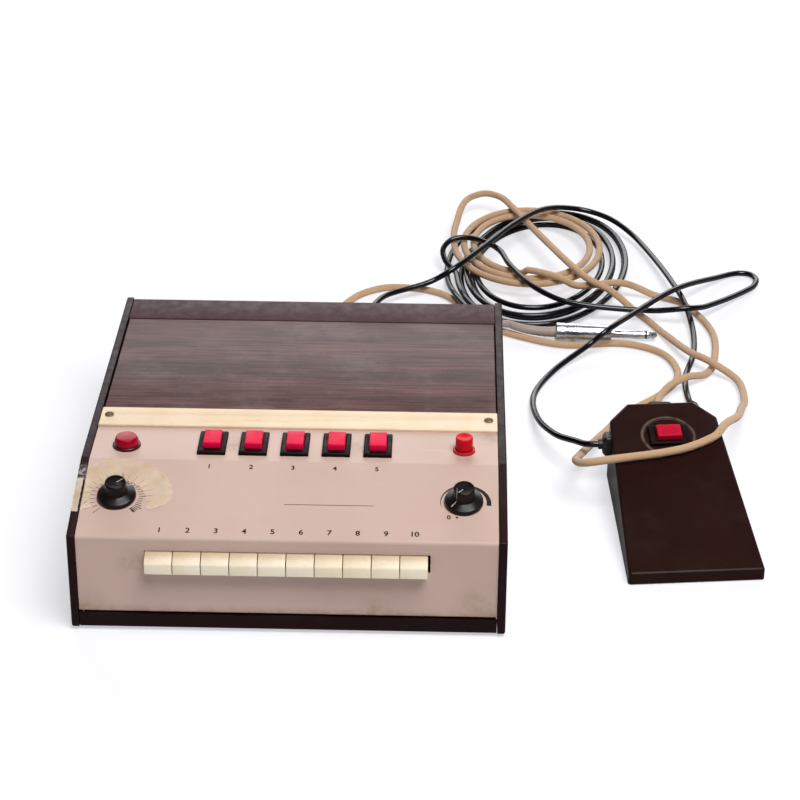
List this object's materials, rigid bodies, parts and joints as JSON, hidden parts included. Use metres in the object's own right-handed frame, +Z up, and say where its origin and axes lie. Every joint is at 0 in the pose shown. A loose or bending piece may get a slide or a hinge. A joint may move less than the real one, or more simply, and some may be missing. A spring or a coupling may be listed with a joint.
{
  "type": "rhythm machine with foot switch",
  "caption": "Low desk-top drum machine with selector keys, push buttons, two knobs and a pilot lamp, with its foot switch and leads.",
  "frame": {"origin": "centre of the base tray underside, 2 mm above the surface that the rubber feet stand on", "axes": "+X to the right of the front, +Y to the rear, +Z up"},
  "size_m": [0.4842, 0.6446, 0.0916],
  "materials": {
    "cheek_brown": "dark brown moulded side panels, fine grain, scuffed edges",
    "tray_enamel": "dark brown enamelled steel",
    "fascia_enamel": "beige enamelled steel with stains and scratches",
    "wood_grain": "grey-brown wood-grain panel, dusty",
    "strip_brown": "dark brown strip, dull",
    "rear_enamel": "dark brown enamelled steel",
    "trim_cream": "cream plastic, slightly yellowed",
    "aged_brass": "tarnished brass screw heads",
    "black_rubber": "black rubber",
    "knob_black": "black moulded knob",
    "plain_steel": "plain zinc-plated steel",
    "pot_metal": "plated steel can",
    "lamp_red": "clear red jewel",
    "lamp_collar": "very dark red collar",
    "lamp_brass": "brass lamp socket with bulb",
    "start_red": "red push button",
    "start_collar": "red collar on a cream switch body",
    "cap_red": "red button cap",
    "bezel_black": "black bezel",
    "switch_nylon": "cream nylon switch body",
    "key_cream": "cream key, yellowed at the edges",
    "circuit_board": "brown laminated board with its components",
    "transformer_steel": "laminated core and wound coil",
    "gland_black": "black moulded strain relief",
    "socket_black": "black jack socket",
    "foot_brown": "dark brown glossy moulded housing",
    "foot_plate": "dark brown base plate",
    "tan_cord": "tan braided cotton over rubber",
    "mains_plug": "black flat plug with two brass pins",
    "black_cord": "glossy black PVC sheath",
    "audio_plug": "black connector with a metal shell",
    "sleeve_grey": "grey-beige flexible sleeve",
    "plug_chrome": "chromed jack plug"
  },
  "bodies": {
    "root": {"left_cheek": "cheek_brown", "right_cheek": "cheek_brown", "base_tray": "tray_enamel", "fascia_panel": "fascia_enamel", "wood_panel": "wood_grain", "rear_strip": "strip_brown", "rear_panel": "rear_enamel", "trim_strip": "trim_cream", "trim_screws": "aged_brass", "rubber_feet": "black_rubber", "potentiometers": "pot_metal", "lamp_jewel": "lamp_red", "lamp_bezel": "lamp_collar", "lamp_holder": "lamp_brass", "start_switch": "start_collar", "button_bezels": "bezel_black", "push_switches": "switch_nylon", "key_frame": "plain_steel", "circuit_board": "circuit_board", "mains_transformer": "transformer_steel", "cord_glands": "gland_black", "foot_jack_socket": "socket_black", "foot_shell": "foot_brown", "foot_base": "foot_plate", "foot_bezel": "bezel_black", "foot_push_switch": "switch_nylon", "foot_gland": "gland_black", "foot_pads": "black_rubber", "mains_lead_run": "tan_cord", "mains_lead_loops": "tan_cord", "mains_lead_end": "tan_cord", "mains_plug": "mains_plug", "audio_lead": "black_cord", "audio_plug": "audio_plug", "foot_lead_run": "black_cord", "foot_lead_loops": "black_cord", "jack_sleeve": "sleeve_grey", "jack_plug": "plug_chrome"},
    "tempo": {"tempo_knob": "knob_black", "tempo_shaft": "plain_steel"},
    "volume": {"volume_knob": "knob_black", "volume_shaft": "plain_steel"},
    "start": {"start_button": "start_red"},
    "instrument_button_1": {"push_button_1": "cap_red"},
    "instrument_button_2": {"push_button_2": "cap_red"},
    "instrument_button_3": {"push_button_3": "cap_red"},
    "instrument_button_4": {"push_button_4": "cap_red"},
    "instrument_button_5": {"push_button_5": "cap_red"},
    "selector_1": {"key_1": "key_cream"},
    "selector_2": {"key_2": "key_cream"},
    "selector_3": {"key_3": "key_cream"},
    "selector_4": {"key_4": "key_cream"},
    "selector_5": {"key_5": "key_cream"},
    "selector_6": {"key_6": "key_cream"},
    "selector_7": {"key_7": "key_cream"},
    "selector_8": {"key_8": "key_cream"},
    "selector_9": {"key_9": "key_cream"},
    "selector_10": {"key_10": "key_cream"},
    "foot_control": {"foot_button": "cap_red"}
  },
  "joints": [
    {"name": "selector_1_press", "type": "slide", "parent": "root", "child": "selector_1", "axis": [0, 1, 0], "range_m": [0, 0.004], "stiffness_N_per_m": 300, "springref_m": -0.0005},
    {"name": "selector_2_press", "type": "slide", "parent": "root", "child": "selector_2", "axis": [0, 1, 0], "range_m": [0, 0.004], "stiffness_N_per_m": 300, "springref_m": -0.0005},
    {"name": "selector_3_press", "type": "slide", "parent": "root", "child": "selector_3", "axis": [0, 1, 0], "range_m": [0, 0.004], "stiffness_N_per_m": 300, "springref_m": -0.0005},
    {"name": "selector_4_press", "type": "slide", "parent": "root", "child": "selector_4", "axis": [0, 1, 0], "range_m": [0, 0.004], "stiffness_N_per_m": 300, "springref_m": -0.0005},
    {"name": "selector_5_press", "type": "slide", "parent": "root", "child": "selector_5", "axis": [0, 1, 0], "range_m": [0, 0.004], "stiffness_N_per_m": 300, "springref_m": -0.0005},
    {"name": "selector_6_press", "type": "slide", "parent": "root", "child": "selector_6", "axis": [0, 1, 0], "range_m": [0, 0.004], "stiffness_N_per_m": 300, "springref_m": -0.0005},
    {"name": "selector_7_press", "type": "slide", "parent": "root", "child": "selector_7", "axis": [0, 1, 0], "range_m": [0, 0.004], "stiffness_N_per_m": 300, "springref_m": -0.0005},
    {"name": "selector_8_press", "type": "slide", "parent": "root", "child": "selector_8", "axis": [0, 1, 0], "range_m": [0, 0.004], "stiffness_N_per_m": 300, "springref_m": -0.0005},
    {"name": "selector_9_press", "type": "slide", "parent": "root", "child": "selector_9", "axis": [0, 1, 0], "range_m": [0, 0.004], "stiffness_N_per_m": 300, "springref_m": -0.0005},
    {"name": "selector_10_press", "type": "slide", "parent": "root", "child": "selector_10", "axis": [0, 1, 0], "range_m": [0, 0.004], "stiffness_N_per_m": 300, "springref_m": -0.0005},
    {"name": "instrument_button_1_press", "type": "slide", "parent": "root", "child": "instrument_button_1", "axis": [0, 0, -1], "range_m": [0, 0.0025], "stiffness_N_per_m": 400, "springref_m": -0.0005},
    {"name": "instrument_button_2_press", "type": "slide", "parent": "root", "child": "instrument_button_2", "axis": [0, 0, -1], "range_m": [0, 0.0025], "stiffness_N_per_m": 400, "springref_m": -0.0005},
    {"name": "instrument_button_3_press", "type": "slide", "parent": "root", "child": "instrument_button_3", "axis": [0, 0, -1], "range_m": [0, 0.0025], "stiffness_N_per_m": 400, "springref_m": -0.0005},
    {"name": "instrument_button_4_press", "type": "slide", "parent": "root", "child": "instrument_button_4", "axis": [0, 0, -1], "range_m": [0, 0.0025], "stiffness_N_per_m": 400, "springref_m": -0.0005},
    {"name": "instrument_button_5_press", "type": "slide", "parent": "root", "child": "instrument_button_5", "axis": [0, 0, -1], "range_m": [0, 0.0025], "stiffness_N_per_m": 400, "springref_m": -0.0005},
    {"name": "start_press", "type": "slide", "parent": "root", "child": "start", "axis": [0, 0, -1], "range_m": [0, 0.003], "stiffness_N_per_m": 400, "springref_m": -0.0005},
    {"name": "foot_button_press", "type": "slide", "parent": "root", "child": "foot_control", "axis": [-0.0261, 0.2573, -0.966], "range_m": [0, 0.0025], "stiffness_N_per_m": 400, "springref_m": -0.0005},
    {"name": "tempo_turn", "type": "hinge", "parent": "root", "child": "tempo", "pos_m": [-0.108, -0.11064, 0.07146], "axis": [0, -0.2095, 0.9778], "range_deg": [-95, 195]},
    {"name": "volume_turn", "type": "hinge", "parent": "root", "child": "volume", "pos_m": [0.108, -0.11064, 0.07146], "axis": [0, -0.2095, 0.9778], "range_deg": [-290, 0]}
  ]
}
